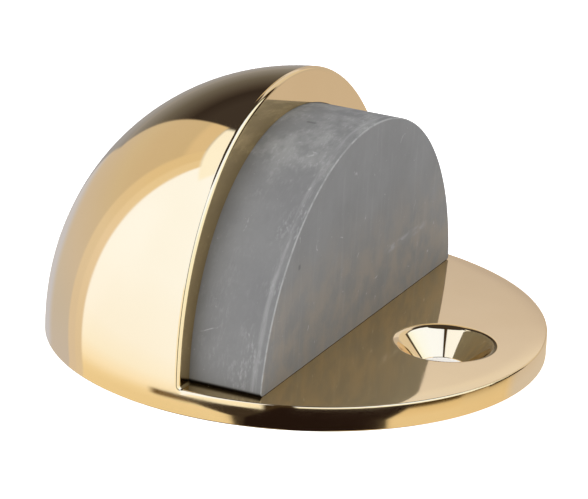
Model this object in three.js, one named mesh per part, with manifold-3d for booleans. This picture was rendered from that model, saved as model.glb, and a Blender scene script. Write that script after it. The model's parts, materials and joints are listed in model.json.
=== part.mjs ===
// Half-dome floor door stop: a cast brass base and hood, a rubber buffer that yields into the hood, and the
// plate and screws that keep the buffer in. Millimetres, +Z up. The origin is the centre of the base at
// floor level, +X is the way the buffer faces, towards the door, and the part is mirrored about Y = 0.
import * as THREE from "three";
import { mergeVertices } from "three/addons/utils/BufferGeometryUtils.js";
import Module from "manifold-3d";

const wasm = await Module();
wasm.setup();

// Driving dimensions
const BASE_RADIUS = 22.5;
const BASE_THICKNESS = 2.25;
const OVERALL_HEIGHT = 24.2;
const WALL_HEIGHT = 0.85; // the upright part of the side, below the curve of the dome
const UNDERSIDE_BREAK = 0.15; // small chamfer round the underside
const LIP_RADIUS = 0.37; // rounding of the base's top edge
const FULLNESS = 2.045; // exponent of the rounded outlines of dome and buffer; 2 would make them ellipses
const HOOD_FRONT = -0.5; // X of the hood's front face where it meets the base
const HOOD_LEAN = 0.0615; // how far the hood's front face leans back for each millimetre of height

const BUFFER_FRONT = 6.2; // X of the face that the door meets
const BUFFER_RADIUS = 20.55;
const BUFFER_CENTRE_HEIGHT = 0.25; // height of the centre of the buffer's round outline
const FLANGE_BACK = -4; // X of the back of the buffer's full-size part
const PLUG_RADIUS = 13;
const PLUG_BACK = -13.5; // X of the back of the buffer's smaller part
const BUFFER_TRAVEL = 1.2; // how far a door presses the buffer in
const CLEARANCE = 0.3; // gap between the buffer, plate or screws and what is round them

const FIXING_HOLE_X = 14.35;
const FIXING_HOLE_RADIUS = 2.15;
const COUNTERSINK_RADIUS = 4.35; // where the cone would reach the base's top
const COUNTERSINK_ROUNDING = 1; // of the edge between the cone and the base's top

const PLATE_CENTRE_X = -8;
const PLATE_SIZE = { x: 4, y: 14, z: 3 };
const SCREW_SPACING = 9;
const SCREW_RADIUS = 1.5;
const SCREW_HEAD_RADIUS = 2.8;
const SCREW_SUNK = 0.2; // how far the screw heads lie above the underside
const SCREW_END_HEIGHT = 5.2;
const SOCKET_RADIUS = 1.15; // hexagon socket, to its corners
const SOCKET_DEPTH = 1;

// Facets
const ROUND_STEPS = 96; // round the base and dome
const DOME_STEPS = 26; // up the dome
const SMALL_STEPS = 36; // round a hole or a screw
const FACE_STEPS = 48; // along the buffer's rounded outline

const brass = new THREE.MeshStandardMaterial({ color: 0xd9b36a, roughness: 0.12, metalness: 1 });
const rubber = new THREE.MeshStandardMaterial({ color: 0x828282, roughness: 0.85, metalness: 0 });
const plateSteel = new THREE.MeshStandardMaterial({ color: 0x9a9c9e, roughness: 0.45, metalness: 1 });
const screwSteel = new THREE.MeshStandardMaterial({ color: 0xbfc2c4, roughness: 0.3, metalness: 1 });

// A three.js geometry as a manifold-3d solid, with its shared corners merged and collapsed triangles dropped.
function solidOf(geometry) {
  const bare = geometry.clone();
  bare.deleteAttribute("normal");
  bare.deleteAttribute("uv");
  const merged = mergeVertices(bare);
  const corners = merged.index.array;
  const kept = [];
  for (let i = 0; i < corners.length; i += 3) {
    const [a, b, c] = [corners[i], corners[i + 1], corners[i + 2]];
    if (a !== b && b !== c && c !== a) kept.push(a, b, c);
  }
  return new wasm.Manifold(
    new wasm.Mesh({
      numProp: 3,
      vertProperties: merged.attributes.position.array,
      triVerts: new Uint32Array(kept),
    }),
  );
}

// A manifold-3d solid as a named three.js mesh.
function meshOf(name, solid, material) {
  const result = solid.getMesh();
  const geometry = new THREE.BufferGeometry();
  geometry.setAttribute("position", new THREE.BufferAttribute(result.vertProperties, 3));
  geometry.setIndex(new THREE.BufferAttribute(result.triVerts, 1));
  geometry.computeVertexNormals();
  const mesh = new THREE.Mesh(geometry, material);
  mesh.name = name;
  return mesh;
}

// A solid turned about an upright axis at (x, y), from a profile of [radius, height] pairs.
function turned(profile, steps, x = 0, y = 0) {
  const points = profile.map(([radius, height]) => new THREE.Vector2(radius, height));
  const geometry = new THREE.LatheGeometry(points, steps);
  geometry.rotateX(Math.PI / 2);
  geometry.translate(x, y, 0);
  return solidOf(geometry);
}

// A block between two corners.
function block(low, high) {
  const size = high.map((value, i) => value - low[i]);
  const geometry = new THREE.BoxGeometry(...size);
  geometry.translate(...low.map((value, i) => value + size[i] / 2));
  return solidOf(geometry);
}

// A rounded outline of size 1, a little fuller than a circle: [across, up] at an angle up to a quarter turn.
function roundOutline(angle) {
  return [Math.cos(angle), Math.sin(angle)].map((value) => Math.max(value, 0) ** (2 / FULLNESS));
}

// The angle at which that outline reaches a height.
function angleAtHeight(height) {
  return Math.asin(height ** (FULLNESS / 2));
}

// A prism along X whose section is the part of a rounded outline above a flat bottom.
function archPrism(radius, bottom, back, front) {
  const start = angleAtHeight((bottom - BUFFER_CENTRE_HEIGHT) / radius);
  const side = [];
  for (let step = 0; step <= FACE_STEPS / 2; step += 1) {
    const [across, up] = roundOutline(start + ((Math.PI / 2 - start) * step) / (FACE_STEPS / 2));
    side.push([radius * across, BUFFER_CENTRE_HEIGHT + radius * up]);
  }
  const top = [0, BUFFER_CENTRE_HEIGHT + radius];
  side.pop();
  const otherSide = side.map(([across, height]) => [-across, height]).reverse();
  const outline = new THREE.Shape([...side, top, ...otherSide].map(([y, z]) => new THREE.Vector2(y, z)));
  const geometry = new THREE.ExtrudeGeometry(outline, {
    depth: front - back,
    bevelEnabled: false,
  });
  const alongX = new THREE.Matrix4().makeBasis(
    new THREE.Vector3(0, 1, 0),
    new THREE.Vector3(0, 0, 1),
    new THREE.Vector3(1, 0, 0),
  );
  geometry.applyMatrix4(alongX);
  geometry.translate(back, 0, 0);
  return solidOf(geometry);
}

// A point of the dome's profile, at an angle above its widest level.
function domePoint(angle) {
  const [across, up] = roundOutline(angle);
  return [BASE_RADIUS * across, WALL_HEIGHT + (OVERALL_HEIGHT - WALL_HEIGHT) * up];
}

// The angle at which the dome's profile reaches the start of the base's rounded lip.
const LIP_ANGLE = angleAtHeight((BASE_THICKNESS - LIP_RADIUS - WALL_HEIGHT) / (OVERALL_HEIGHT - WALL_HEIGHT));

// The side that the base and the dome share, from the centre of the underside to the start of the lip.
const SHARED_SIDE = [
  [0, 0],
  [BASE_RADIUS - UNDERSIDE_BREAK, 0],
  [BASE_RADIUS, UNDERSIDE_BREAK],
  [BASE_RADIUS, WALL_HEIGHT],
  domePoint(LIP_ANGLE),
];

// The round base plate, with its rounded lip.
function basePlate() {
  const lipCentre = domePoint(LIP_ANGLE)[0] - LIP_RADIUS;
  const lip = [1, 2, 3].map((step) => {
    const angle = (step * Math.PI) / 6;
    const radius = lipCentre + LIP_RADIUS * Math.cos(angle);
    return [radius, BASE_THICKNESS - LIP_RADIUS + LIP_RADIUS * Math.sin(angle)];
  });
  return turned([...SHARED_SIDE, ...lip, [0, BASE_THICKNESS]], ROUND_STEPS);
}

// The solid dome, cut off in front by the leaning face of the hood.
function hood() {
  const profile = [...SHARED_SIDE];
  for (let step = 1; step < DOME_STEPS; step += 1) {
    profile.push(domePoint(LIP_ANGLE + ((Math.PI / 2 - LIP_ANGLE) * step) / DOME_STEPS));
  }
  profile.push([0, OVERALL_HEIGHT]);
  const dome = turned(profile, ROUND_STEPS);

  const beyond = BASE_RADIUS + 5;
  const faceAt = (height) => HOOD_FRONT - HOOD_LEAN * (height - BASE_THICKNESS);
  const outline = new THREE.Shape([
    new THREE.Vector2(faceAt(-beyond), -beyond),
    new THREE.Vector2(beyond, -beyond),
    new THREE.Vector2(beyond, beyond),
    new THREE.Vector2(faceAt(beyond), beyond),
  ]);
  const front = new THREE.ExtrudeGeometry(outline, { depth: 2 * beyond, bevelEnabled: false });
  front.rotateX(Math.PI / 2);
  front.translate(0, beyond, 0);
  return dome.subtract(solidOf(front));
}

// The recess in the hood that holds the buffer: full size in front, smaller behind.
function bufferRecess() {
  const room = CLEARANCE + BUFFER_TRAVEL;
  const front = archPrism(BUFFER_RADIUS + CLEARANCE, BASE_THICKNESS, FLANGE_BACK - room, BUFFER_FRONT);
  const back = archPrism(PLUG_RADIUS + CLEARANCE, BASE_THICKNESS, PLUG_BACK - room, FLANGE_BACK);
  return front.add(back);
}

// The countersunk hole in front of the buffer, for the screw that fixes the stop to the floor.
function fixingHole() {
  const coneStart = BASE_THICKNESS - (COUNTERSINK_RADIUS - FIXING_HOLE_RADIUS);
  const mouth = COUNTERSINK_RADIUS + COUNTERSINK_ROUNDING * Math.tan(Math.PI / 8);
  const rounding = [3, 2, 1, 0].map((step) => {
    const tilt = (step * Math.PI) / 12;
    const drop = COUNTERSINK_ROUNDING * (1 - Math.cos(tilt));
    return [mouth - COUNTERSINK_ROUNDING * Math.sin(tilt), BASE_THICKNESS - drop];
  });
  const above = BASE_THICKNESS + 1;
  const profile = [
    [0, -1],
    [FIXING_HOLE_RADIUS, -1],
    [FIXING_HOLE_RADIUS, coneStart],
    ...rounding,
    [mouth, above],
    [0, above],
  ];
  return turned(profile, SMALL_STEPS, FIXING_HOLE_X);
}

// A hole for one retaining screw, countersunk from the underside.
function retainingScrewHole(y) {
  const mouth = SCREW_HEAD_RADIUS + SCREW_SUNK + CLEARANCE;
  const throat = SCREW_RADIUS + CLEARANCE;
  const profile = [
    [0, -1],
    [mouth, -1],
    [mouth, 0],
    [throat, mouth - throat],
    [throat, BASE_THICKNESS + 1],
    [0, BASE_THICKNESS + 1],
  ];
  return turned(profile, SMALL_STEPS, PLATE_CENTRE_X, y);
}

function bodyCasting() {
  const casting = basePlate()
    .add(hood())
    .subtract(bufferRecess())
    .subtract(fixingHole())
    .subtract(retainingScrewHole(-SCREW_SPACING / 2))
    .subtract(retainingScrewHole(SCREW_SPACING / 2));
  return meshOf("body_casting", casting, brass);
}

// The rubber buffer, with the slot in its plug that the retaining plate lies in. The slot is longer than the
// plate in front by the buffer's travel, and its back wall meets the plate if the buffer is pulled.
function rubberBuffer() {
  const bottom = BASE_THICKNESS + CLEARANCE;
  const flange = archPrism(BUFFER_RADIUS, bottom, FLANGE_BACK, BUFFER_FRONT);
  const plug = archPrism(PLUG_RADIUS, bottom, PLUG_BACK, FLANGE_BACK + 1);
  const plateBack = PLATE_CENTRE_X - PLATE_SIZE.x / 2;
  const plateFront = PLATE_CENTRE_X + PLATE_SIZE.x / 2;
  const slotHalfWidth = PLATE_SIZE.y / 2 + CLEARANCE;
  const slot = block(
    [plateBack - CLEARANCE, -slotHalfWidth, 0],
    [plateFront + CLEARANCE + BUFFER_TRAVEL, slotHalfWidth, bottom + PLATE_SIZE.z + CLEARANCE],
  );
  return meshOf("rubber_buffer", flange.add(plug).subtract(slot), rubber);
}

// The steel plate inside the buffer's plug, with a hole for each retaining screw.
function retainingPlate() {
  const outline = new THREE.Shape();
  const [halfX, halfY] = [PLATE_SIZE.x / 2, PLATE_SIZE.y / 2];
  outline.moveTo(-halfX, -halfY);
  outline.lineTo(halfX, -halfY);
  outline.lineTo(halfX, halfY);
  outline.lineTo(-halfX, halfY);
  outline.closePath();
  for (const y of [-SCREW_SPACING / 2, SCREW_SPACING / 2]) {
    const hole = new THREE.Path();
    hole.absarc(0, y, SCREW_RADIUS + CLEARANCE / 2, 0, 2 * Math.PI, true);
    outline.holes.push(hole);
  }
  const geometry = new THREE.ExtrudeGeometry(outline, {
    depth: PLATE_SIZE.z,
    bevelEnabled: false,
    curveSegments: SMALL_STEPS / 2,
  });
  geometry.translate(PLATE_CENTRE_X, 0, BASE_THICKNESS + CLEARANCE);
  return meshOf("retaining_plate", solidOf(geometry), plateSteel);
}

// A countersunk screw with a hexagon socket, head down.
function retainingScrew(name, y) {
  const profile = [
    [0, SCREW_SUNK],
    [SCREW_HEAD_RADIUS, SCREW_SUNK],
    [SCREW_RADIUS, SCREW_SUNK + SCREW_HEAD_RADIUS - SCREW_RADIUS],
    [SCREW_RADIUS, SCREW_END_HEIGHT - 0.4],
    [SCREW_RADIUS - 0.4, SCREW_END_HEIGHT],
    [0, SCREW_END_HEIGHT],
  ];
  const socketShape = new THREE.CylinderGeometry(SOCKET_RADIUS, SOCKET_RADIUS, SOCKET_DEPTH + 1, 6);
  socketShape.rotateX(Math.PI / 2);
  socketShape.translate(PLATE_CENTRE_X, y, SCREW_SUNK + (SOCKET_DEPTH - 1) / 2);
  const screw = turned(profile, SMALL_STEPS, PLATE_CENTRE_X, y).subtract(solidOf(socketShape));
  return meshOf(name, screw, screwSteel);
}

const doorStop = new THREE.Group();
doorStop.name = "door_stop";
doorStop.add(bodyCasting());
doorStop.add(rubberBuffer());
doorStop.add(retainingPlate());
doorStop.add(retainingScrew("retaining_screw_left", SCREW_SPACING / 2));
doorStop.add(retainingScrew("retaining_screw_right", -SCREW_SPACING / 2));

export default doorStop;
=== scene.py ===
"""Looks of the half-dome floor door stop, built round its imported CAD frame.

Metres, +Z up, in the frame of the CAD part: the origin is the centre of the base on the floor, and +X is the
way the rubber buffer faces. The part is mirrored about Y = 0, so most shapes are made on the +Y side only.
"""

import json
import math

import bpy
import numpy as np
from mathutils import Matrix, Vector
from mathutils.geometry import tessellate_polygon


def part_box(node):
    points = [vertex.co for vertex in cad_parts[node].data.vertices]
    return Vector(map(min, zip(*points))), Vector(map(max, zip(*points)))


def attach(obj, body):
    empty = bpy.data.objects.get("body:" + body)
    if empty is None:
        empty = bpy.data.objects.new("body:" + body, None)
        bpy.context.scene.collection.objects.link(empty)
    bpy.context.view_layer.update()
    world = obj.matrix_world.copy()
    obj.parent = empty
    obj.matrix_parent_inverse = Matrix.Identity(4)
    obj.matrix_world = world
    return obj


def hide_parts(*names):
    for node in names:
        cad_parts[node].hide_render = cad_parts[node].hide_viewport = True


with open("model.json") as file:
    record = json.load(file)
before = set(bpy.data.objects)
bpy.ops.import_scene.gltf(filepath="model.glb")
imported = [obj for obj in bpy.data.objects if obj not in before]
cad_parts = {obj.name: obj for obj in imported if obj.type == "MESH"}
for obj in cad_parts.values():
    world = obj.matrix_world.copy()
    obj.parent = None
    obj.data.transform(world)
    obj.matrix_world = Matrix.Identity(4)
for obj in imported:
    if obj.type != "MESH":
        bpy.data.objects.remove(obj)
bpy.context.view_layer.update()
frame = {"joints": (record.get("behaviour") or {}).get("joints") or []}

MM = 0.001
CASTING_LOW, CASTING_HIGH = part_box("body_casting")
BUFFER_LOW, BUFFER_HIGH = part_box("rubber_buffer")
PLATE_LOW, PLATE_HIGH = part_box("retaining_plate")

# The casting
BASE_RADIUS = CASTING_HIGH.x
BASE_THICKNESS = 2.25 * MM
WALL_HEIGHT = 0.85 * MM  # the upright part of the side, below the curve of the dome
DOME_HEIGHT = 24.2 * MM  # where the dome's curve would reach over the centre of the base
DOME_RISE = DOME_HEIGHT - WALL_HEIGHT
FULLNESS = 2.045  # exponent of the rounded outlines of dome and buffer; 2 would make them ellipses
UNDERSIDE_BREAK = 0.1 * MM
HOOD_FRONT = -0.5 * MM  # X of the hood's front face at the base's top
HOOD_LEAN = math.atan(0.0615)  # how far the hood's front face leans back
RIM_RADIUS = 0.42 * MM  # rounding of the hood's front edge
LIP_RADIUS = 0.16 * MM  # rounding of the base's top edge
FOOT_FILLET = 0.3 * MM  # between the hood's front face and the base
SHOULDER_WIDTH = 2 * MM  # band inside the lip where polishing has rounded the base's top off
SHOULDER_TILT = math.radians(2.5)
LIP_FADE = math.radians(14)  # stretch of the lip, next to the hood, where its rounding changes to the rim's

# The buffer: its outline is round about a low centre, and cut off by a flat bottom
BUFFER_FRONT = BUFFER_HIGH.x
BUFFER_CENTRE_HEIGHT = 0.25 * MM
BUFFER_RADIUS = BUFFER_HIGH.z - BUFFER_CENTRE_HEIGHT
BUFFER_BOTTOM = BASE_THICKNESS + 0.03 * MM
BUFFER_EDGE = 0.1 * MM  # rounding of the arched edge of its front face
BUFFER_BOTTOM_EDGE = 0.02 * MM  # rounding of the front face's bottom edge
BUFFER_CORNER = 0.35 * MM  # rounding along its bottom edges
FLANGE_BACK = -4 * MM
PLUG_RADIUS = 13 * MM
PLUG_BACK = BUFFER_LOW.x

# Slot in the buffer's underside that the retaining plate lies in
CLEARANCE = 0.3 * MM
TRAVEL = frame["joints"][0]["range_m"][1]
SLOT_BACK = PLATE_LOW.x - CLEARANCE
SLOT_FRONT = PLATE_HIGH.x + CLEARANCE + TRAVEL
SLOT_HALF_WIDTH = PLATE_HIGH.y + CLEARANCE
SLOT_TOP = PLATE_HIGH.z + CLEARANCE

# Recess in the hood
VISIBLE_GAP = 0.05 * MM  # between the rubber and the recess, where it can be seen
RECESS_RADIUS = BUFFER_RADIUS + VISIBLE_GAP
RECESS_BACK = FLANGE_BACK - CLEARANCE - TRAVEL
POCKET_RADIUS = PLUG_RADIUS + CLEARANCE
POCKET_BACK = PLUG_BACK - CLEARANCE - TRAVEL

# Holes in the base
FIXING_HOLE_X = 14.35 * MM
FIXING_HOLE_RADIUS = 2.15 * MM
COUNTERSINK_RADIUS = 4.35 * MM
COUNTERSINK_EDGE = 1 * MM  # rounding of the countersink's upper edge
SCREW_LOW, SCREW_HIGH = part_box("retaining_screw_left")
SCREW_X = (SCREW_LOW.x + SCREW_HIGH.x) / 2
SCREW_Y = (SCREW_LOW.y + SCREW_HIGH.y) / 2
SCREW_HOLE_MOUTH = 3.3 * MM
SCREW_HOLE_THROAT = 1.8 * MM
PLATE_HOLE_RADIUS = 1.65 * MM

UP = np.array([0.0, 0.0, 1.0])
FORWARD = np.array([1.0, 0.0, 0.0])
LEVEL = np.array([1.0, 1.0, 0.0])  # a point times this loses its height
SECTION = np.array([0.0, 1.0, 1.0])  # a point times this loses its X
QUARTER = math.pi / 2

# How finely the meshes are cut
WELD = 1e-7  # points closer than this are joined
TINY = 1e-9  # less than this counts as nothing
FULL_ROUND = np.linspace(0, 2 * math.pi, 97)
HALF_ROUND = np.linspace(0, math.pi, 73)
ARCH_STEPS = 60
OUTER_ROWS = 44  # down the outside of the casting
SIDE_ROWS = 22  # along the buffer's side
FACE_RINGS = 30  # from the buffer's front edge to the middle of its face
ROUNDING_ROWS = 8  # across the large roundings
EDGE_ROWS = 6  # across the roundings of the buffer's front and of the countersink
BREAK_ROWS = 4  # across broken edges
HALVINGS = 48  # of a range, when a value in it is searched for


# ---- mesh building


def unit(vectors):
    """Vectors scaled to length 1, along the last axis."""
    vectors = np.asarray(vectors, float)
    return vectors / np.linalg.norm(vectors, axis=-1, keepdims=True)


def between(first, last, steps):
    """Unit vectors turning evenly from first to last, as an array with steps + 1 rows."""
    angle = np.arccos(np.clip((first * last).sum(-1, keepdims=True), -1, 1))
    rows = []
    for share in np.linspace(0, 1, steps + 1):
        safe = np.where(angle < TINY, 1, np.sin(angle))
        turned = (np.sin((1 - share) * angle) * first + np.sin(share * angle) * last) / safe
        rows.append(np.where(angle < TINY, first, turned))
    return np.array(rows)


def smooth_step(x):
    x = np.clip(x, 0, 1)
    return x * x * (3 - 2 * x)


def quads_of(rows):
    """The four corners of each quad of a grid of points given as (rows, columns, 3)."""
    corners = [rows[:-1, :-1], rows[1:, :-1], rows[1:, 1:], rows[:-1, 1:]]
    return np.stack(corners, axis=2).reshape(-1, 4, 3)


class Patchwork:
    """Faces with a normal at each corner, gathered patch by patch and then welded into one mesh."""

    def __init__(self):
        self.patches = []

    def grid(self, points, normals):
        points = np.asarray(points, float)
        self.patches.append((quads_of(points), quads_of(np.broadcast_to(normals, points.shape))))

    def flat(self, outline, normal, holes=()):
        """A flat face with a closed outline, and with closed loops for its holes."""
        loops = [np.asarray(loop, float) for loop in (outline, *holes)]
        triangles = tessellate_polygon([[Vector(point) for point in loop] for loop in loops])
        corners = np.concatenate(loops)[np.array(triangles)]
        self.patches.append((corners, np.broadcast_to(normal, corners.shape)))

    def turned(self, profile, angles, x=0.0, y=0.0):
        """A surface turned about an upright axis, from rows of (radius, height, normal out, normal up)."""
        radius, height, out, up = (np.array(column)[:, None] for column in zip(*profile))
        cos, sin = np.cos(angles), np.sin(angles)
        points = np.stack([x + radius * cos, y + radius * sin, height + 0 * cos], -1)
        self.grid(points, np.stack([out * cos, out * sin, up + 0 * cos], -1))

    def mirror(self):
        """Adds the mirror image about Y = 0."""
        flip = np.array([1.0, -1.0, 1.0])
        self.patches += [(corners * flip, normals * flip) for corners, normals in self.patches]

    def mesh(self, name):
        """All the patches as one welded mesh, without the faces that welding has closed up."""
        every = np.concatenate([corners.reshape(-1, 3) for corners, _ in self.patches])
        rounded = np.round(every / WELD).astype(np.int64)
        _, kept, index = np.unique(rounded, axis=0, return_index=True, return_inverse=True)
        index = index.ravel()
        faces, face_normals, start = [], [], 0
        for corners, normals in self.patches:
            count, sides = corners.shape[:2]
            indices = index[start : start + count * sides].reshape(count, sides)
            start += count * sides
            across = np.cross(corners[:, sides // 2] - corners[:, 0], corners[:, -1] - corners[:, 1])
            inward = (across * normals.sum(1)).sum(1) < 0
            for face, normal, turn in zip(indices.tolist(), normals.tolist(), inward):
                pairs = [(v, n) for i, (v, n) in enumerate(zip(face, normal)) if v != face[i - 1]]
                distinct = len({v for v, _ in pairs})
                if distinct < 3 or distinct != len(pairs):
                    continue
                if turn:
                    pairs.reverse()
                faces.append([v for v, _ in pairs])
                face_normals += [n for _, n in pairs]
        mesh = bpy.data.meshes.new(name)
        mesh.from_pydata(every[kept].tolist(), [], faces)
        mesh.polygons.foreach_set("use_smooth", [True] * len(mesh.polygons))
        mesh.normals_split_custom_set(face_normals)
        return mesh


def placed(name, data):
    made = bpy.data.objects.new(name, data)
    bpy.context.scene.collection.objects.link(made)
    return made


def piece(name, mesh, material, body, replaced):
    """A mesh as a shown piece that rides on a CAD body and stands for a CAD node."""
    mesh.materials.append(material)
    made = placed(name, mesh)
    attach(made, body)
    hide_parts(replaced)


# ---- casting


def round_outline(angle):
    """A rounded outline of size 1, at angles from 0 to a quarter turn: its (out, up) points and normals."""
    out_up = np.maximum(np.stack([np.cos(angle), np.sin(angle)], -1), 0)
    return out_up ** (2 / FULLNESS), out_up ** (2 - 2 / FULLNESS)


def dome_at(sphere):
    """Points and normals of the dome, from points of the unit sphere that it is stretched from."""
    angle = np.arctan2(sphere[..., 2], np.hypot(sphere[..., 0], sphere[..., 1]))
    around = unit(sphere * LEVEL)
    point, normal = round_outline(angle)
    points = BASE_RADIUS * point[..., :1] * around + (WALL_HEIGHT + DOME_RISE * point[..., 1:]) * UP
    return points, unit(normal[..., :1] / BASE_RADIUS * around + normal[..., 1:] / DOME_RISE * UP)


def on_sphere(points):
    """The points of the unit sphere that dome_at stretches to points on the dome."""
    height = np.maximum(points[..., 2:] - WALL_HEIGHT, 0) / DOME_RISE
    level = points * LEVEL
    radius = np.linalg.norm(level, axis=-1, keepdims=True) / BASE_RADIUS
    return unit(unit(level) * radius ** (FULLNESS / 2) + height ** (FULLNESS / 2) * UP)


def inset_ring(height, inset):
    """Radius and normal, as (out, up), of the surface that lies inset below the dome, at a height."""
    height, inset = np.broadcast_arrays(np.asarray(height, float), np.asarray(inset, float))
    low, high = np.zeros(height.shape), np.full(height.shape, QUARTER)
    for _ in range(HALVINGS):
        middle = (low + high) / 2
        point, normal = round_outline(middle)
        normal = unit(normal / (BASE_RADIUS, DOME_RISE))
        too_low = WALL_HEIGHT + DOME_RISE * point[..., 1] - inset * normal[..., 1] < height
        low = np.where(too_low, middle, low)
        high = np.where(too_low, high, middle)
    return BASE_RADIUS * point[..., 0] - inset * normal[..., 0], normal


def face_x(height):
    """X of the hood's leaning front face at a height."""
    return HOOD_FRONT - math.tan(HOOD_LEAN) * (height - BASE_THICKNESS)


class FrontEdge:
    """The rounded edge between the outside and the front of the casting, on the +Y side: round the base's lip
    from its front, through the corner at the hood's foot, and over the hood's rim to its top. It is the path
    of a small ball that touches both surfaces from inside."""

    LIP, FOOT, RIM = 150, 8, 170  # samples along each stretch

    def __init__(self):
        face_normal = np.array([math.cos(HOOD_LEAN), 0, math.sin(HOOD_LEAN)])
        foot_x = HOOD_FRONT + FOOT_FILLET * (1 - math.sin(HOOD_LEAN)) / math.cos(HOOD_LEAN)
        foot_ring, _ = inset_ring(BASE_THICKNESS - RIM_RADIUS, RIM_RADIUS)
        foot_angle = math.acos(foot_x / float(foot_ring))

        # Along the lip, by the angle round the base
        angle = np.linspace(0, foot_angle, self.LIP)
        share = smooth_step((foot_angle - angle) / LIP_FADE)
        ball = RIM_RADIUS + (LIP_RADIUS - RIM_RADIUS) * share
        share = smooth_step((foot_angle - angle) / (2 * LIP_FADE))
        self.width = SHOULDER_WIDTH * share
        tilt = SHOULDER_TILT * share
        self.drop = self.width * np.tan(tilt) / 3
        height = BASE_THICKNESS - self.drop - ball * np.cos(tilt)
        ring, normal = inset_ring(height, ball)
        self.out = np.stack([np.cos(angle), np.sin(angle), 0 * angle], -1)
        lip_centre = ring[:, None] * self.out + height[:, None] * UP
        lip_side = normal[:, :1] * self.out + normal[:, 1:] * UP
        lip_front = np.sin(tilt)[:, None] * self.out + np.cos(tilt)[:, None] * UP

        # Through the fillet at the hood's foot, by the tilt of its normal
        fillet_axis = np.array([foot_x, 0, BASE_THICKNESS + FOOT_FILLET])
        foot_front = between(UP, face_normal, self.FOOT)[1:]
        foot_centre = fillet_axis - (FOOT_FILLET + RIM_RADIUS) * foot_front

        # Up the rim, evenly round its curve
        start = foot_centre[-1, 2]
        low, high = start, DOME_HEIGHT - RIM_RADIUS
        for _ in range(HALVINGS):
            middle = (low + high) / 2
            ring, _ = inset_ring(middle, RIM_RADIUS)
            low, high = (middle, high) if ring > abs(self.rim_x(middle)) else (low, middle)
        rise = np.sin(np.linspace(0, QUARTER, self.RIM + 1))[1:]
        rim_height = start + (low - start) * rise
        rim_centre = np.stack([self.rim_x(rim_height), 0 * rise, rim_height], -1)
        rim_front = np.broadcast_to(face_normal, rim_centre.shape)

        upper = np.concatenate([foot_centre, rim_centre])
        ring, normal = inset_ring(upper[:, 2], RIM_RADIUS)
        upper[:, 1] = np.sqrt(np.maximum(ring**2 - upper[:, 0] ** 2, 0))
        upper[-1, 1] = 0
        outward = unit(upper * LEVEL)
        upper_side = normal[:, :1] * outward + normal[:, 1:] * UP

        self.centre = np.concatenate([lip_centre, upper])
        self.side = np.concatenate([lip_side, upper_side])
        self.front = np.concatenate([lip_front, foot_front, rim_front])
        self.ball = np.concatenate([ball, np.full(len(upper), RIM_RADIUS)])[:, None]
        self.on_side = self.centre + self.ball * self.side
        self.on_front = self.centre + self.ball * self.front

    @staticmethod
    def rim_x(height):
        """X of the ball's centre at a height, where the ball touches the hood's front face."""
        return face_x(height) - RIM_RADIUS / math.cos(HOOD_LEAN)


def outer_side(patches, edge):
    """The dome and the side of the base, from the rounded edge to the underside. Returns the bottom ring."""
    top = on_sphere(edge.on_side)
    azimuth = np.arctan2(top[:, 1], top[:, 0])
    rim = slice(edge.LIP + edge.FOOT, None)
    azimuth[rim] = np.linspace(azimuth[rim.start - 1], math.pi, edge.RIM + 1)[1:]
    around = np.stack([np.cos(azimuth), np.sin(azimuth), 0 * azimuth], -1)
    around[[0, -1], 1] = 0
    sphere = between(top, around, OUTER_ROWS)
    points, normals = dome_at(sphere)
    points[0] = edge.on_side
    patches.grid(points, normals)

    wall = [BASE_RADIUS * around + height * UP for height in (WALL_HEIGHT, UNDERSIDE_BREAK)]
    patches.grid(wall, around)
    turn = between(around, -UP, BREAK_ROWS)
    centre = (BASE_RADIUS - UNDERSIDE_BREAK) * around + UNDERSIDE_BREAK * UP
    bottom = centre + UNDERSIDE_BREAK * turn
    patches.grid(bottom, turn)
    return bottom[-1]


def arch(radius, x, start_height, steps):
    """Points of the +Y half of an arch about the buffer's axis, from a height on its side up to its top."""
    start = math.asin(((start_height - BUFFER_CENTRE_HEIGHT) / radius) ** (FULLNESS / 2))
    point, _ = round_outline(np.linspace(start, QUARTER, steps + 1))
    point[-1, 0] = 0
    height = BUFFER_CENTRE_HEIGHT + radius * point[:, 1]
    return np.stack([x + 0 * height, radius * point[:, 0], height], -1)


def towards_axis(points):
    """Unit vectors from points of an arch to the buffer's axis."""
    return unit((BUFFER_CENTRE_HEIGHT * UP - points) * SECTION)


def front_faces(patches, edge):
    """The shoulder of the base's top, the fillet and the hood's face. Returns the inner edge of the shoulder
    and the edge of the recess's opening."""
    lip = slice(0, edge.LIP)
    shoulder, slopes = [], []
    width = np.maximum(edge.width, TINY)[:, None]
    for share in np.linspace(0, 1, 9):
        left = 1 - share
        fall = edge.drop[:, None] * left**3
        flat_top = edge.on_front[lip] * LEVEL + BASE_THICKNESS * UP
        shoulder.append(flat_top - share * edge.width[:, None] * edge.out - fall * UP)
        slopes.append(unit(UP + 3 * edge.drop[:, None] / width * left**2 * edge.out))
    shoulder[0] = edge.on_front[lip]
    patches.grid(shoulder, slopes)

    foot = edge.on_front[edge.LIP - 1 : edge.LIP + edge.FOOT]
    rise = ((foot[:, 2] - BUFFER_CENTRE_HEIGHT) / RECESS_RADIUS) ** FULLNESS
    foot_opening = np.stack([foot[:, 0], RECESS_RADIUS * (1 - rise) ** (1 / FULLNESS), foot[:, 2]], -1)
    rim_opening = arch(RECESS_RADIUS, 0.0, foot[-1, 2], edge.RIM)
    rim_opening[:, 0] = face_x(rim_opening[:, 2])
    rim_opening[0] = foot_opening[-1]
    opening = np.concatenate([foot_opening, rim_opening[1:]])
    outer = edge.on_front[edge.LIP - 1 :]
    patches.grid([outer, opening], edge.front[edge.LIP - 1 :])
    return shoulder[-1], opening


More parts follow.
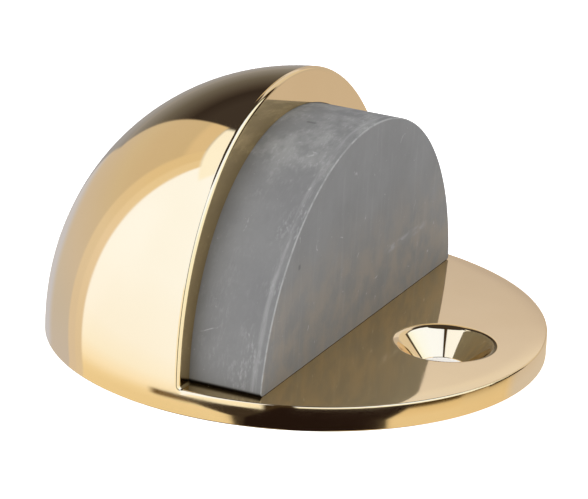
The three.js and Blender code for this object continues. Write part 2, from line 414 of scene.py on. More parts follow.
def recess(patches, opening):
    """The walls of the recess. Returns its outline on the floor, from the opening back to Y = 0."""
    back = opening * SECTION + RECESS_BACK * FORWARD
    patches.grid([opening, back], towards_axis(opening))
    pocket_front = arch(POCKET_RADIUS, RECESS_BACK, BASE_THICKNESS, ARCH_STEPS)
    pocket_back = pocket_front + (POCKET_BACK - RECESS_BACK) * FORWARD
    patches.grid([pocket_front, pocket_back], towards_axis(pocket_front))
    patches.flat([*back, *pocket_front[::-1]], FORWARD)
    corner = [POCKET_BACK, 0, BASE_THICKNESS]
    patches.flat([*pocket_back, corner], FORWARD)
    return [opening[0], back[0], pocket_front[0], pocket_back[0], corner]


def fixing_hole(patches):
    """The countersunk hole in front of the buffer. Returns the radius of its rounded mouth."""
    slant = math.radians(45)
    edge_radius = COUNTERSINK_RADIUS + COUNTERSINK_EDGE * math.tan(slant / 2)
    foot_of_cone = BASE_THICKNESS - (COUNTERSINK_RADIUS - FIXING_HOLE_RADIUS)
    profile = []
    for tilt in np.linspace(QUARTER, slant, EDGE_ROWS):
        out, up = -math.cos(tilt), math.sin(tilt)
        height = BASE_THICKNESS - COUNTERSINK_EDGE * (1 - up)
        profile.append((edge_radius + COUNTERSINK_EDGE * out, height, out, up))
    patches.turned(profile, HALF_ROUND, FIXING_HOLE_X)
    foot = (FIXING_HOLE_RADIUS, foot_of_cone, -math.sin(slant), math.cos(slant))
    patches.turned([profile[-1], foot], HALF_ROUND, FIXING_HOLE_X)
    patches.turned([(*foot[:2], -1, 0), (FIXING_HOLE_RADIUS, 0, -1, 0)], HALF_ROUND, FIXING_HOLE_X)
    return edge_radius


def screw_hole(patches):
    """The hole for the +Y retaining screw, countersunk from the underside."""
    slant = math.sqrt(0.5)
    mouth = (SCREW_HOLE_MOUTH, 0, -slant, -slant)
    neck = (SCREW_HOLE_THROAT, SCREW_HOLE_MOUTH - SCREW_HOLE_THROAT, -slant, -slant)
    patches.turned([mouth, neck], FULL_ROUND, SCREW_X, SCREW_Y)
    top = (SCREW_HOLE_THROAT, BASE_THICKNESS, -1, 0)
    patches.turned([(*neck[:2], -1, 0), top], FULL_ROUND, SCREW_X, SCREW_Y)


def circle(radius, height, x, y=0.0, half=False):
    """Points round a horizontal circle, or round its +Y half, ends included."""
    angles = HALF_ROUND if half else FULL_ROUND[:-1]
    return [[x + radius * math.cos(a), y + radius * math.sin(a), height] for a in angles]


def body_casting():
    patches = Patchwork()
    edge = FrontEdge()
    ridge = between(edge.side, edge.front, ROUNDING_ROWS)
    rounded = edge.centre + edge.ball * ridge
    rounded[0], rounded[-1] = edge.on_side, edge.on_front
    patches.grid(rounded, ridge)
    bottom_ring = outer_side(patches, edge)
    shoulder, opening = front_faces(patches, edge)
    recess_floor = recess(patches, opening)
    hole_radius = fixing_hole(patches)
    screw_hole(patches)

    hole = circle(hole_radius, BASE_THICKNESS, FIXING_HOLE_X, half=True)[::-1]
    throat = circle(SCREW_HOLE_THROAT, BASE_THICKNESS, SCREW_X, SCREW_Y)
    patches.flat([*shoulder, *recess_floor, *hole], UP, [throat])
    hole = circle(FIXING_HOLE_RADIUS, 0, FIXING_HOLE_X, half=True)[::-1]
    mouth = circle(SCREW_HOLE_MOUTH, 0, SCREW_X, SCREW_Y)
    patches.flat([*bottom_ring, *hole], -UP, [mouth])
    patches.mirror()
    return patches.mesh("brass_body")


# ---- buffer


def buffer_outline(plug_side):
    """The +Y half of the buffer's outline in the YZ plane, from its top to the middle of its bottom, with a
    point where the plug's side meets the bottom: points, normals and the rounding of its front edge."""
    corner_height = BUFFER_BOTTOM + BUFFER_CORNER
    rise = (corner_height - BUFFER_CENTRE_HEIGHT) / (BUFFER_RADIUS - BUFFER_CORNER)
    angle = np.linspace(QUARTER, math.asin(rise ** (FULLNESS / 2)), 121)
    point, normal = round_outline(angle)
    point[0, 0] = normal[0, 0] = 0
    height = BUFFER_CENTRE_HEIGHT + BUFFER_RADIUS * point[:, 1]
    arc = np.stack([0 * angle, BUFFER_RADIUS * point[:, 0], height], -1)
    arc_normals = unit(np.stack([0 * angle, normal[:, 0], normal[:, 1]], -1))
    corner_normals = between(arc_normals[-1], -UP, ROUNDING_ROWS)[1:]
    corner_centre = arc[-1] - BUFFER_CORNER * arc_normals[-1]
    corner_centre[2] = corner_height
    corner = corner_centre + BUFFER_CORNER * corner_normals
    across = [*np.linspace(corner[-1, 1], plug_side, 9)[1:], *np.linspace(plug_side, 0, 17)[1:]]
    bottom = [[0, y, BUFFER_BOTTOM] for y in across]
    bottom_normals = np.broadcast_to(-UP, (len(bottom), 3))
    outline = np.concatenate([arc, corner, bottom])
    rounding = np.full((len(outline), 1), BUFFER_EDGE)
    rounding[len(arc) :] = BUFFER_BOTTOM_EDGE
    return outline, np.concatenate([arc_normals, corner_normals, bottom_normals]), rounding


def plate_slot(patches):
    """The walls and the ceiling of the slot for the retaining plate, open below."""
    low, high = BUFFER_BOTTOM, SLOT_TOP
    for x, facing in ((SLOT_BACK, FORWARD), (SLOT_FRONT, -FORWARD)):
        wall = [[[x, y, z] for y in (0, SLOT_HALF_WIDTH)] for z in (low, high)]
        patches.grid(wall, facing)
    side = [[[x, SLOT_HALF_WIDTH, z] for x in (SLOT_BACK, SLOT_FRONT)] for z in (low, high)]
    patches.grid(side, np.array([0.0, -1.0, 0.0]))
    ceiling = [[[x, y, high] for x in (SLOT_BACK, SLOT_FRONT)] for y in (0, SLOT_HALF_WIDTH)]
    patches.grid(ceiling, -UP)


def rubber_buffer():
    patches = Patchwork()
    plug_front = arch(PLUG_RADIUS, FLANGE_BACK, BUFFER_BOTTOM, ARCH_STEPS)[::-1]
    plug_side = plug_front[-1, 1]
    outline, normals, rounding = buffer_outline(plug_side)
    front = BUFFER_FRONT - rounding
    shares = np.linspace(0, 1, SIDE_ROWS)[:, None, None]
    sides = outline + FORWARD * (FLANGE_BACK + (front - FLANGE_BACK) * shares)
    patches.grid(sides, normals)
    turn = between(normals, FORWARD, EDGE_ROWS)
    edge = outline - rounding * normals + front * FORWARD + rounding * turn
    edge[0] = sides[-1]
    patches.grid(edge, turn)
    middle = np.array([BUFFER_FRONT, 0, 0.4 * BUFFER_HIGH.z])
    shares = np.linspace(0, 1, FACE_RINGS)
    patches.grid([edge[-1] + (middle - edge[-1]) * share for share in shares], FORWARD)
    plug(patches, sides[0], plug_front)
    plate_slot(patches)
    patches.mirror()
    return patches.mesh("rubber_block")


def plug(patches, flange_edge, plug_front):
    """The back of the flange, the plug behind it, and the underside round the slot."""
    plug_side = plug_front[-1, 1] + TINY
    plug_back = plug_front + (PLUG_BACK - FLANGE_BACK) * FORWARD
    patches.grid([plug_front, plug_back], -towards_axis(plug_front))
    corner_top = BUFFER_BOTTOM + BUFFER_CORNER
    flange = [point for point in flange_edge if point[1] > plug_side or point[2] > corner_top]
    patches.flat([*flange, *plug_front[::-1]], -FORWARD)
    corner = [PLUG_BACK, 0, BUFFER_BOTTOM]
    patches.flat([*plug_back, corner], -FORWARD)
    plug_top = BUFFER_CENTRE_HEIGHT + PLUG_RADIUS
    below_flange = [point for point in flange_edge[::-1] if point[1] < plug_side and point[2] < plug_top]
    slot = [(SLOT_BACK, 0), (SLOT_BACK, SLOT_HALF_WIDTH), (SLOT_FRONT, SLOT_HALF_WIDTH), (SLOT_FRONT, 0)]
    slot = [[x, y, BUFFER_BOTTOM] for x, y in slot]
    patches.flat([corner, *slot, *below_flange, plug_back[-1]], -UP)


# ---- plate and screws


def closed(rows):
    """Rows of points round a loop, each with its first point again at its end."""
    return np.concatenate([rows, rows[:, :1]], axis=1)


def retaining_plate():
    """The plate inside the plug, with rounded corners, broken edges and a hole for each screw."""
    patches = Patchwork()
    corner, breaking = 0.5 * MM, 0.12 * MM
    middle = (PLATE_LOW + PLATE_HIGH) / 2
    half = (PLATE_HIGH - PLATE_LOW) / 2
    quarter = np.linspace(0, QUARTER, 9)
    angles = [corner_number * QUARTER + turn for corner_number in range(4) for turn in quarter]
    out = np.array([[math.cos(a), math.sin(a), 0] for a in angles])
    signs = [(1, 1), (-1, 1), (-1, -1), (1, -1)]
    centres = np.array([[middle.x + sx * (half.x - corner), sy * (half.y - corner), 0] for sx, sy in signs])
    core = np.repeat(centres, len(quarter), axis=0)
    for height, up in ((PLATE_LOW.z, -UP), (PLATE_HIGH.z, UP)):
        turn = between(out, up, BREAK_ROWS)
        rows = core + (corner - breaking) * out + breaking * turn + (height - breaking * up[2]) * UP
        patches.grid(closed(rows), closed(turn))
        holes = [circle(PLATE_HOLE_RADIUS, height, SCREW_X, y) for y in (-SCREW_Y, SCREW_Y)]
        patches.flat(rows[-1], up, holes)
    heights = (PLATE_LOW.z + breaking, PLATE_HIGH.z - breaking)
    wall = np.array([core + corner * out + height * UP for height in heights])
    patches.grid(closed(wall), closed(out[None]))
    bore = [(PLATE_HOLE_RADIUS, height, -1, 0) for height in (PLATE_LOW.z, PLATE_HIGH.z)]
    for y in (-SCREW_Y, SCREW_Y):
        patches.turned(bore, FULL_ROUND, SCREW_X, y)
    return patches.mesh("plate")


def retaining_screw(name, y):
    """A countersunk screw, head down, with a hexagon socket and a rounded end."""
    patches = Patchwork()
    head, shank, socket, depth = 2.8 * MM, 1.5 * MM, 1.15 * MM, 1 * MM
    rim, end = 0.1 * MM, 0.4 * MM  # how much the head's edge and the shank's end are cut back
    low, high = SCREW_LOW.z, SCREW_HIGH.z
    slant = math.sqrt(0.5)
    neck = low + head - shank + rim
    halfway = (head - 0.3 * rim, low + 0.3 * rim, slant, -slant)
    for profile in (
        [(head - rim, low, 0, -1), halfway, (head, low + rim, 1, 0)],
        [(head, low + rim, slant, slant), (shank, neck, slant, slant)],
        [(shank, neck, 1, 0), (shank, high - end, 1, 0)],
        [(shank, high - end, slant, slant), (shank - end, high, slant, slant)],
    ):
        patches.turned(profile, FULL_ROUND, SCREW_X, y)
    hexagon = [math.pi / 6 + side * math.pi / 3 for side in range(6)]
    out = np.array([[math.cos(angle), math.sin(angle), 0] for angle in hexagon])
    corners = np.array([SCREW_X, y, low]) + socket * out
    deep = corners + depth * UP
    patches.flat(circle(head - rim, low, SCREW_X, y), -UP, [corners])
    patches.flat(deep, -UP)
    patches.flat(circle(shank - end, high, SCREW_X, y), UP)
    for side in range(6):
        pair = [side, (side + 1) % 6]
        patches.grid([corners[pair], deep[pair]], -unit(out[pair].sum(0)))
    return patches.mesh(name)


# ---- materials


class Nodes:
    """A node tree, with short ways to add the nodes used here."""

    def __init__(self, tree):
        self.nodes = tree.nodes
        self.links = tree.links

    def link(self, source, node, socket):
        self.links.new(source, node.inputs[socket])

    def feed(self, socket, value):
        """Gives a socket a number, a colour or the output of another node."""
        if isinstance(value, bpy.types.NodeSocket):
            self.links.new(value, socket)
        elif isinstance(value, (int, float)):
            socket.default_value = value
        else:
            socket.default_value = (*value, 1)

    def math(self, operation, *values):
        node = self.nodes.new("ShaderNodeMath")
        node.operation = operation
        for socket, value in zip(node.inputs, values):
            self.feed(socket, value)
        return node.outputs["Value"]

    def all_of(self, first, *others):
        """The product of several values."""
        for other in others:
            first = self.math("MULTIPLY", first, other)
        return first

    def ramp(self, value, start, end, low, high):
        """Maps value, from start to end, smoothly to low to high."""
        node = self.nodes.new("ShaderNodeMapRange")
        node.interpolation_type = "SMOOTHSTEP"
        names = ("From Min", "From Max", "To Min", "To Max")
        for name, number in zip(names, (start, end, low, high)):
            node.inputs[name].default_value = number
        self.link(value, node, "Value")
        return node.outputs["Result"]

    def away(self, value, middle):
        """How far value is from the middle."""
        return self.math("ABSOLUTE", self.math("SUBTRACT", value, middle))

    def near(self, value, middle, inner, outer):
        """1 where value is within inner of the middle, falling to 0 at outer from it."""
        return self.ramp(self.away(value, middle), inner, outer, 1, 0)

    def mix(self, share, first, second):
        """A colour that goes from first to second as share goes from 0 to 1."""
        node = self.nodes.new("ShaderNodeMix")
        node.data_type = "RGBA"
        self.link(share, node, "Factor")
        colors = [socket for socket in node.inputs if socket.type == "RGBA"]
        for socket, value in zip(colors, (first, second)):
            self.feed(socket, value)
        return [socket for socket in node.outputs if socket.type == "RGBA"][0]


class Shader(Nodes):
    """A material's nodes, with its surface and the place on the object."""

    def __init__(self, name, color, metallic, roughness):
        self.material = bpy.data.materials.new(name)
        self.material.use_nodes = True
        super().__init__(self.material.node_tree)
        self.surface = self.nodes["Principled BSDF"]
        self.surface.inputs["Base Color"].default_value = (*color, 1)
        self.surface.inputs["Metallic"].default_value = metallic
        self.surface.inputs["Roughness"].default_value = roughness
        self.place = self.nodes.new("ShaderNodeTexCoord").outputs["Object"]

    def axes(self):
        """The three coordinates of the place on the object."""
        split = self.nodes.new("ShaderNodeSeparateXYZ")
        self.link(self.place, split, "Vector")
        return [split.outputs[name] for name in "XYZ"]

    def vector(self, x, y, z):
        node = self.nodes.new("ShaderNodeCombineXYZ")
        for name, value in zip("XYZ", (x, y, z)):
            self.link(value, node, name)
        return node.outputs["Vector"]

    def noise(self, grain, detail=4, stretch=(1, 1, 1), roughness=0.5, place=None):
        """A noise from 0 to 1. Its features are about grain metres across, times stretch along each axis."""
        mapping = self.nodes.new("ShaderNodeMapping")
        mapping.inputs["Scale"].default_value = [1 / (grain * along) for along in stretch]
        self.link(place or self.place, mapping, "Vector")
        texture = self.nodes.new("ShaderNodeTexNoise")
        texture.inputs["Scale"].default_value = 1
        texture.inputs["Detail"].default_value = detail
        texture.inputs["Roughness"].default_value = roughness
        self.link(mapping.outputs["Vector"], texture, "Vector")
        return texture.outputs["Fac"]

    def bump(self, height, depth):
        """Bump from a height of 0 to 1 that stands for depth metres."""
        node = self.nodes.new("ShaderNodeBump")
        node.inputs["Strength"].default_value = 1
        node.inputs["Distance"].default_value = depth
        self.link(height, node, "Height")
        self.link(node.outputs["Normal"], self.surface, "Normal")


BRASS = (0.88, 0.66, 0.33)


def polished_brass():
    shader = Shader("polished_brass", BRASS, 1.0, 0.04)
    haze = shader.noise(7 * MM, 3)
    shader.link(shader.ramp(haze, 0.3, 0.7, 0.03, 0.07), shader.surface, "Roughness")
    warmth = shader.noise(12 * MM, 2)
    color = shader.mix(shader.ramp(warmth, 0.3, 0.7, 0, 1), (0.87, 0.65, 0.32), (0.89, 0.675, 0.345))
    shader.link(color, shader.surface, "Base Color")
    shader.bump(shader.noise(5 * MM, 1), 0.003 * MM)
    return shader.material


class RubberShader(Shader):
    """The rubber's nodes, and what they know of a place on the buffer: its coordinates, its distance behind
    the front, its radius in the rounded outline, round_arc, whose axes run along X, round the outline and
    outward, and whether it is on the front face or on the side."""

    def __init__(self):
        super().__init__("grey_rubber", (0.2, 0.2, 0.2), 0.0, 0.8)
        self.x, self.y, self.z = self.axes()
        rise = self.math("SUBTRACT", self.z, BUFFER_CENTRE_HEIGHT)
        level = self.math("POWER", self.math("ABSOLUTE", self.y), FULLNESS)
        upright = self.math("POWER", self.math("ABSOLUTE", rise), FULLNESS)
        self.radius = self.math("POWER", self.math("ADD", level, upright), 1 / FULLNESS)
        along = self.math("MULTIPLY", self.math("ARCTAN2", rise, self.y), BUFFER_RADIUS)
        self.round_arc = self.vector(self.x, along, self.radius)
        self.behind = self.math("SUBTRACT", BUFFER_FRONT, self.x)
        self.on_front = self.ramp(self.behind, 0.02 * MM, 0.06 * MM, 1, 0)
        self.on_side = self.math("SUBTRACT", 1.0, self.on_front)

    def tint(self, share, color):
        """Lays a colour over what is there, where share is above 0."""
        self.color = self.mix(share, self.color, color)


def grey_rubber():
    """Matt rubber with dust, faint streaks, and scuffs that gather along its front edge and over its top,
    with painted warm light low on its front face, a painted highlight on its front edge, and painted shade
    towards the hood and along the foot of its side.
    """
    rubber = RubberShader()
    mottle = rubber.ramp(rubber.noise(5 * MM, 6, roughness=0.62), 0.3, 0.7, 0, 1)
    rubber.color = rubber.mix(mottle, (0.186, 0.184, 0.182), (0.214, 0.213, 0.211))
    front_painted_bounce_and_streaks(rubber)
    side_scuffs_and_painted_shade(rubber)
    front_edge_wear_and_highlight(rubber)
    # Painted shade: a near-black band along the foot of the side, in the crevice above the base.
    foot = rubber.ramp(rubber.z, BUFFER_BOTTOM + 0.12 * MM, BUFFER_BOTTOM + 0.4 * MM, 1, 0)
    rubber.tint(rubber.all_of(foot, rubber.on_side), (0.02, 0.015, 0.01))
    scratches(rubber)
    rub_and_nicks(rubber)
    rubber.link(rubber.color, rubber.surface, "Base Color")
    rubber.link(rubber.ramp(mottle, 0, 1, 0.72, 0.86), rubber.surface, "Roughness")
    rubber.surface.inputs["Specular IOR Level"].default_value = 0.12
    rubber.bump(rubber.noise(0.25 * MM, 4), 0.012 * MM)
    return rubber.material


def front_painted_bounce_and_streaks(rubber):
    """Painted warm light from the brass below, in clouds over the lower part of the front face, and the
    face's upright streaks.
    """
    clouds = rubber.ramp(rubber.noise(3 * MM, 5, roughness=0.6), 0.35, 0.65, 0.25, 1)
    # Painted light: the brass's warm reflected light, laid in clouds low on the front face.
    low_down = rubber.ramp(rubber.z, 5 * MM, 15 * MM, 1, 0)
    rubber.tint(rubber.all_of(low_down, rubber.on_front, clouds), (0.26, 0.232, 0.198))
    streaks = rubber.ramp(rubber.noise(0.5 * MM, 5, (1, 1, 14), 0.6), 0.5, 0.75, 0, 0.17)
    rubber.tint(rubber.all_of(streaks, rubber.on_front), (0.3, 0.3, 0.295))


def side_scuffs_and_painted_shade(rubber):
    """Fine scuffs along the side, which gather near its front edge and over its top, paler there. Their
    thinning out towards the hood is painted shade, darkening the side there.
    """
    fine = rubber.noise(0.22 * MM, 5, (1, 3, 1), 0.6, rubber.round_arc)
    grain = rubber.ramp(fine, 0.46, 0.72, 0, 1)
    coarse = rubber.noise(2.6 * MM, 4, (1, 1.6, 1), 0.6, rubber.round_arc)
    blotches = rubber.ramp(coarse, 0.42, 0.66, 0.1, 1)
    # Painted shade: fewer pale scuffs towards the hood darken the side there.
    near_edge = rubber.ramp(rubber.behind, 0.8 * MM, 4.2 * MM, 0.75, 0.22)
    over_top = rubber.ramp(rubber.z, 14.5 * MM, 20 * MM, 0, 0.5)
    place = rubber.math("ADD", near_edge, over_top)
    rubber.tint(rubber.all_of(grain, blotches, place, rubber.on_side), (0.36, 0.36, 0.355))
    paler_near_top = rubber.ramp(rubber.z, 17 * MM, 20.3 * MM, 0, 0.7)
    rubber.tint(rubber.all_of(paler_near_top, blotches, rubber.on_side), (0.31, 0.31, 0.3))


def front_edge_wear_and_highlight(rubber):
    """The broken pale band on the side next to the front edge, and a painted highlight: the edge itself made
    paler.
    """
    broken = rubber.noise(0.3 * MM, 4, (1, 12, 1), 0.6, rubber.round_arc)
    band = rubber.all_of(
        rubber.ramp(rubber.away(rubber.behind, 0.75 * MM), 0.05 * MM, 0.4 * MM, 0.45, 0),
        rubber.ramp(broken, 0.4, 0.62, 0.15, 1),
        rubber.on_side,
    )
    rubber.tint(band, (0.37, 0.37, 0.365))
    # Painted highlight along the rounded front edge.
    painted_edge_highlight = rubber.all_of(
        rubber.ramp(rubber.behind, 0.06 * MM, 0.15 * MM, 0.7, 0),
        rubber.ramp(rubber.radius, BUFFER_RADIUS - 0.15 * MM, BUFFER_RADIUS - 0.05 * MM, 0, 1),
        rubber.ramp(rubber.noise(0.8 * MM, 3), 0.35, 0.6, 0.45, 1),
    )
    rubber.tint(painted_edge_highlight, (0.42, 0.42, 0.41))


def scratches(rubber):
    """Hairline scratches where a noise passes its middle value, broken up by a second, and pale specks."""
    line = rubber.ramp(rubber.away(rubber.noise(3.4 * MM, 1), 0.5), 0.003, 0.012, 1, 0)
    parts = rubber.ramp(rubber.noise(1.7 * MM, 3, roughness=0.6), 0.6, 0.68, 0, 0.6)
    rubber.tint(rubber.all_of(line, parts), (0.4, 0.4, 0.39))
    specks = rubber.ramp(rubber.noise(0.3 * MM, 2), 0.72, 0.78, 0, 0.4)
    rubber.tint(specks, (0.42, 0.42, 0.41))


def rub_and_nicks(rubber):
    """A pale rub and a dark nick on the front face, and a dark mark on the side."""
    rub = rubber.all_of(
        rubber.near(rubber.z, 7.65 * MM, 0.1 * MM, 0.55 * MM),
        rubber.near(rubber.y, 9.4 * MM, 2.5 * MM, 5.5 * MM),
        rubber.ramp(rubber.noise(0.5 * MM, 4, (1, 3, 1)), 0.4, 0.62, 0.1, 0.65),
        rubber.on_front,
    )
    rubber.tint(rub, (0.33, 0.33, 0.325))
    nick = rubber.all_of(
        rubber.near(rubber.y, -14 * MM, 0.1 * MM, 0.32 * MM),
        rubber.near(rubber.z, 11.96 * MM, 0.1 * MM, 0.32 * MM),
        rubber.on_front,
    )
    mark = rubber.all_of(
        rubber.near(rubber.x, 1.2 * MM, 0.3 * MM, 0.6 * MM),
        rubber.near(rubber.y, -1.95 * MM, 0.08 * MM, 0.25 * MM),
        rubber.on_side,
    )
    rubber.tint(rubber.all_of(rubber.math("ADD", nick, mark), 0.55), (0.09, 0.09, 0.085))


def steel(name, color, roughness):
    shader = Shader(name, color, 1.0, roughness)
    streaks = shader.noise(0.5 * MM, 4, (1, 6, 1))
    uneven = shader.ramp(streaks, 0.3, 0.7, roughness - 0.08, roughness + 0.08)
    shader.link(uneven, shader.surface, "Roughness")
    shade = shader.ramp(shader.noise(1.5 * MM, 3), 0.3, 0.7, 0, 1)
    darker = tuple(0.85 * c for c in color)
    shader.link(shader.mix(shade, darker, color), shader.surface, "Base Color")
    shader.bump(streaks, 0.004 * MM)
    return shader.material


# ---- studio

CAMERA_AZIMUTH = math.radians(23.87)
CAMERA_ELEVATION = math.radians(19.15)
CAMERA_DISTANCE = 303.2 * MM
CAMERA_ROLL = math.radians(3.28)
CAMERA_LENS = 209.0
CAMERA_CENTRE = Vector((0, 0, BASE_RADIUS / 2))  # the camera's angles and distance are from here
CAMERA_AIM = (-0.578 * MM, -3.006 * MM)  # right and up from there to the middle of the picture
SOFT_BOX_SIZE = 600 * MM
SOFT_BOX_DISTANCE = 800 * MM


def direction(azimuth, elevation):
    """The unit vector at an elevation and an azimuth, which is 0 along -Y and a quarter turn along +X."""
    level = math.cos(elevation)
    return Vector((math.sin(azimuth) * level, -math.cos(azimuth) * level, math.sin(elevation)))


def camera():
    back = direction(CAMERA_AZIMUTH, CAMERA_ELEVATION)
    place = CAMERA_CENTRE + CAMERA_DISTANCE * back
    right = back.cross(Vector((0, 0, -1))).normalized()
    up = back.cross(right)
    ahead = (CAMERA_CENTRE + CAMERA_AIM[0] * right + CAMERA_AIM[1] * up - place).normalized()
    right = ahead.cross(Vector((0, 0, 1))).normalized()
    roll = Matrix.Rotation(CAMERA_ROLL, 4, -ahead)
    up = roll @ right.cross(ahead)
    right = roll @ right
    data = bpy.data.cameras.new("camera")
    data.lens = CAMERA_LENS
    data.clip_start = 0.01
    data.clip_end = 20
    made = placed("camera", data)
    made.matrix_world = Matrix.Translation(place) @ Matrix((right, up, -ahead)).transposed().to_4x4()
    bpy.context.scene.camera = made


def linear(*channels):
    """A colour on the 0 to 255 scale as linear light."""
    shares = [channel / 255 for channel in channels]
    return [s / 12.92 if s < 0.04045 else ((s + 0.055) / 1.055) ** 2.4 for s in shares]


class Studio(Nodes):
    """The light round the object: soft panels at directions from it, as the world's shader. Azimuths are
    degrees round from the camera's side, positive towards its right, and elevations are above the horizon."""

    def __init__(self, backdrop):
        world = bpy.data.worlds.new("studio")
        world.use_nodes = True
        bpy.context.scene.world = world
        super().__init__(world.node_tree)
        place = self.nodes.new("ShaderNodeTexCoord")
        turn = self.nodes.new("ShaderNodeVectorRotate")
        turn.rotation_type = "Z_AXIS"
        turn.inputs["Angle"].default_value = QUARTER - CAMERA_AZIMUTH
        self.link(place.outputs["Generated"], turn, "Vector")
        self.direction = turn.outputs["Vector"]
        split = self.nodes.new("ShaderNodeSeparateXYZ")
        self.link(self.direction, split, "Vector")
        ahead, right, up = (split.outputs[name] for name in "XYZ")
        self.azimuth = self.math("DEGREES", self.math("ARCTAN2", right, ahead))
        self.elevation = self.math("DEGREES", self.math("ARCSINE", up))
        self.color = linear(*backdrop)

    def color_of(self, color):
        """One colour, or a list of (elevation, colour) that it changes through, from low to high."""
        if not isinstance(color[0], tuple):
            return linear(*color)
        ramp = self.nodes.new("ShaderNodeValToRGB")
        stops = ramp.color_ramp.elements
        while len(stops) < len(color):
            stops.new(0.5)
        for stop, (height, shade) in zip(stops, color):
            stop.position = (height + 90) / 180
            stop.color = (*linear(*shade), 1)
        share = self.math("DIVIDE", self.math("ADD", self.elevation, 90.0), 180.0)
        self.link(share, ramp, "Fac")
        return ramp.outputs["Color"]

    def within(self, distance, limits, soft):
        """1 where a distance from the middle of the limits is inside them, softly falling to 0 at them."""
        half = (limits[1] - limits[0]) / 2
        return self.ramp(distance, half - soft, half + soft, 1, 0)

    def panel(self, color, azimuths, elevations, soft=(1.0, 1.0), lean=0.0):
        """Lays a panel over what is there. Its colour, on the 0 to 255 scale, is the one that polished brass
        shows when it reflects the panel to the camera. Its azimuths move by lean degrees for each one of
        elevation."""
        middle = self.math("MULTIPLY_ADD", self.elevation, lean, sum(azimuths) / 2)
        offset = self.math("SUBTRACT", self.azimuth, middle)
        across = self.math("ABSOLUTE", self.math("WRAP", offset, 180.0, -180.0))
        upward = self.away(self.elevation, sum(elevations) / 2)
        mask = self.all_of(self.within(across, azimuths, soft[0]), self.within(upward, elevations, soft[1]))
        self.color = self.mix(mask, self.color, self.color_of(color))

    def vector_math(self, operation, first, second):
        node = self.nodes.new("ShaderNodeVectorMath")
        node.operation = operation
        self.links.new(first, node.inputs[0])
        if isinstance(second, bpy.types.NodeSocket):
            self.links.new(second, node.inputs[1])
        else:
            node.inputs[1].default_value = second
        return node

    def light_for_brass(self):
        """The light that brass turns into the panels' colours: less tinted the more it is seen askance."""
        to_camera = (math.cos(CAMERA_ELEVATION), 0, math.sin(CAMERA_ELEVATION))
        toward = self.vector_math("DOT_PRODUCT", self.direction, to_camera).outputs["Value"]
        facing = self.math("SQRT", self.math("MULTIPLY_ADD", toward, 0.5, 0.5))
        askance = self.math("POWER", self.math("SUBTRACT", 1.0, facing), 5.0)
        tint = self.mix(askance, BRASS, (1, 1, 1))
        return self.vector_math("DIVIDE", self.color, tint).outputs["Vector"]

    def finish(self, seen_by_camera):
        straight_on = self.nodes.new("ShaderNodeLightPath").outputs["Is Camera Ray"]
        shown = self.mix(straight_on, self.light_for_brass(), seen_by_camera)
        self.link(shown, self.nodes["Background"], "Color")


def studio_light():
    studio = Studio((60, 48, 34))
    left_of_camera(studio)
    behind_on_the_left(studio)
    right_of_camera(studio)
    dark_ground_in_front(studio)
    studio.finish((1.0, 1.0, 1.0))
    # Neutral light for what isn't polished: the world above shows in reflections only
    bpy.context.scene.world.cycles_visibility.diffuse = False
    soft_box("left_box", -60, 35, 4.4)
    soft_box("right_box", 56, 35, 3.7)
    soft_box("top_box", 180, 75, 2.6)


def left_of_camera(studio):
    """The big soft box, which fades to gold near the floor, and the tan wall beyond it."""
    wall = [
        (-25, (197, 178, 155)),
        (-15, (199, 179, 150)),
        (-5, (205, 180, 145)),
        (5, (206, 179, 139)),
        (15, (208, 179, 132)),
        (25, (206, 174, 125)),
        (40, (205, 173, 122)),
        (43, (220, 184, 128)),
    ]
    studio.panel(wall, (-192, -110), (-60, 50))
    studio.panel((200, 190, 180), (-192, -151), (-60, -8), (6, 5))
    lighter = [(-20, (216, 187, 147)), (10, (224, 193, 144)), (30, (224, 188, 129))]
    studio.panel(lighter, (-124, -110), (-60, 50))
    lightest = [(-20, (220, 190, 145)), (10, (231, 199, 151)), (30, (231, 197, 140))]
    studio.panel(lightest, (-117, -110), (-60, 50))
    box = [
        (-23, (234, 198, 135)),
        (-20.5, (242, 208, 148)),
        (-18, (253, 226, 178)),
        (-14, (254, 236, 200)),
        (-6, (255, 241, 214)),
        (20, (255, 245, 223)),
    ]
    studio.panel(box, (-111, -2), (-60, 70.5))
    studio.panel((254, 230, 182), (-47, -8), (-19.3, 25), (1.5, 0.4))
    studio.panel((254, 237, 200), (-142, -100), (50, 66), (2, 1))


def behind_on_the_left(studio):
    """The dark side behind, which is lighter towards the floor and leans at its edge."""
    dark = [
        (-22, (206, 199, 192)),
        (-17, (163, 155, 148)),
        (-5, (160, 151, 139)),
        (5, (137, 126, 109)),
        (15, (104, 92, 73)),
        (25, (73, 60, 45)),
        (30, (51, 39, 28)),
        (38, (61, 49, 37)),
    ]
    studio.panel(dark, (-185, -157), (0, 60), (0.6, 3), lean=0.27)
    studio.panel(dark, (-185, -157), (-60, 1), (0.6, 1), lean=0.8)


def right_of_camera(studio):
    """The other soft box and the pale wall beyond it, then the box's dark edge, the dark gap between the two
    boxes and the dark opening above it."""
    wall = [
        (-22, (212, 188, 153)),
        (-17, (205, 175, 135)),
        (5, (197, 171, 133)),
        (18.5, (192, 169, 142)),
        (20.3, (205, 181, 151)),
        (21.4, (217, 192, 160)),
        (22.4, (231, 207, 170)),
        (27, (226, 204, 172)),
    ]
    studio.panel(wall, (112, 179.4), (-60, 29), (0.6, 2))
    studio.panel((224, 200, 164), (127, 165), (24, 50), (1.5, 2))
    studio.panel((221, 192, 146), (122, 147), (9, 42), (1.5, 2))
    box = [
        (-17, (246, 220, 172)),
        (0, (252, 232, 185)),
        (30, (254, 240, 197)),
        (44, (254, 249, 228)),
        (60, (254, 250, 238)),
    ]
    studio.panel(box, (-6, 117), (-17.4, 70), (1, 0.5))
    studio.panel((60, 42, 18), (117, 122.6), (14, 60), (0.8, 2))
    studio.panel((62, 45, 24), (-12.5, 2), (-30, 76), (1.5, 1))
    studio.panel((62, 45, 24), (-45, 38), (69.5, 90), (8, 0.5))


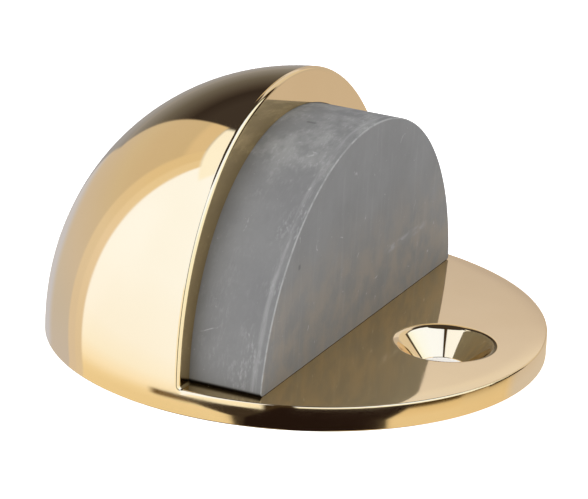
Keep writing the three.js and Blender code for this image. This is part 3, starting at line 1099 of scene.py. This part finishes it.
def dark_ground_in_front(studio):
    """The gold ground, the dark reflection of whatever stood in its middle, and the dark lines beneath the
    base's lip on both sides of that."""
    gold = [(-23, (232, 196, 134)), (-21, (228, 188, 124)), (-19, (224, 184, 118)), (-17.4, (238, 210, 165))]
    studio.panel(gold, (20, 116), (-60, -17.4), (7, 0.3))
    fading = [
        (-22.4, (230, 192, 130)),
        (-20.2, (224, 188, 128)),
        (-19.3, (205, 170, 114)),
        (-18.1, (182, 145, 90)),
    ]
    studio.panel(fading, (82, 112), (-22.4, -17.2), (4, 0.3))
    studio.panel((104, 74, 30), (80, 107), (-18.6, -16.9), (3, 0.2))
    studio.panel((64, 40, 6), (46, 82), (-19.2, -16.5), (3, 0.2))
    studio.panel((96, 66, 24), (-66, -38), (-20.6, -18.8), (3, 0.3))
    studio.panel((60, 46, 30), (-218.5, -150), (-23.2, -18.8), (1.5, 0.2), lean=-8.5)
    studio.panel((34, 21, 13), (47, 111), (-50, -17), (1, 0.3), lean=3)
    studio.panel((46, 28, 6), (99, 122), (-19, 16), (1, 0.2))
    studio.panel((46, 28, 6), (88, 126), (-18.3, -5), (1, 0.2))


def soft_box(name, azimuth, elevation, power):
    """A square soft light at a direction from the object, given as the studio's panels are. It isn't seen in
    reflections, because the panels are."""
    data = bpy.data.lights.new(name, "AREA")
    data.energy = power
    data.size = SOFT_BOX_SIZE
    made = placed(name, data)
    towards = direction(CAMERA_AZIMUTH + math.radians(azimuth), math.radians(elevation))
    made.location = SOFT_BOX_DISTANCE * towards
    made.rotation_euler = towards.to_track_quat("Z", "Y").to_euler()
    made.visible_glossy = False
    made.visible_camera = False


def floor():
    half = 3.0
    mesh = bpy.data.meshes.new("floor")
    corners = [(-half, -half, 0), (half, -half, 0), (half, half, 0), (-half, half, 0)]
    mesh.from_pydata(corners, [], [(0, 1, 2, 3)])
    shader = Shader("pale_floor", (0.9, 0.9, 0.9), 0.0, 0.9)
    shader.surface.inputs["Specular IOR Level"].default_value = 0.0
    grain = shader.ramp(shader.noise(40 * MM, 3), 0.3, 0.7, 0, 1)
    shader.link(shader.mix(grain, (0.89, 0.89, 0.89), (0.91, 0.91, 0.91)), shader.surface, "Base Color")
    # Painted shade: the floor glows darker under the base, where it shows through the fixing hole
    x, y, _ = shader.axes()
    squares = [shader.math("MULTIPLY", length, length) for length in (x, y)]
    from_middle = shader.math("SQRT", shader.math("ADD", *squares))
    open_floor = shader.ramp(from_middle, 0.93 * BASE_RADIUS, 0.98 * BASE_RADIUS, 0, 1)
    glow_and_painted_shade = shader.mix(open_floor, (0.3, 0.26, 0.2), (1.0, 1.0, 1.0))
    shader.link(glow_and_painted_shade, shader.surface, "Emission Color")
    shader.surface.inputs["Emission Strength"].default_value = 0.7
    mesh.materials.append(shader.material)
    made = placed("floor", mesh)
    made.visible_glossy = False


# ---- the scene

brass = polished_brass()
rubber = grey_rubber()
piece("brass_body", body_casting(), brass, "base", "body_casting")
piece("rubber_block", rubber_buffer(), rubber, "buffer", "rubber_buffer")
plate_steel = steel("plate_steel", (0.5, 0.5, 0.51), 0.42)
piece("plate", retaining_plate(), plate_steel, "base", "retaining_plate")
screw_steel = steel("screw_steel", (0.66, 0.67, 0.69), 0.28)
for name, side in (("screw_left", SCREW_Y), ("screw_right", -SCREW_Y)):
    piece(name, retaining_screw(name, side), screw_steel, "base", f"retaining_{name}")
camera()
studio_light()
floor()
bpy.context.scene.view_settings.view_transform = "Standard"
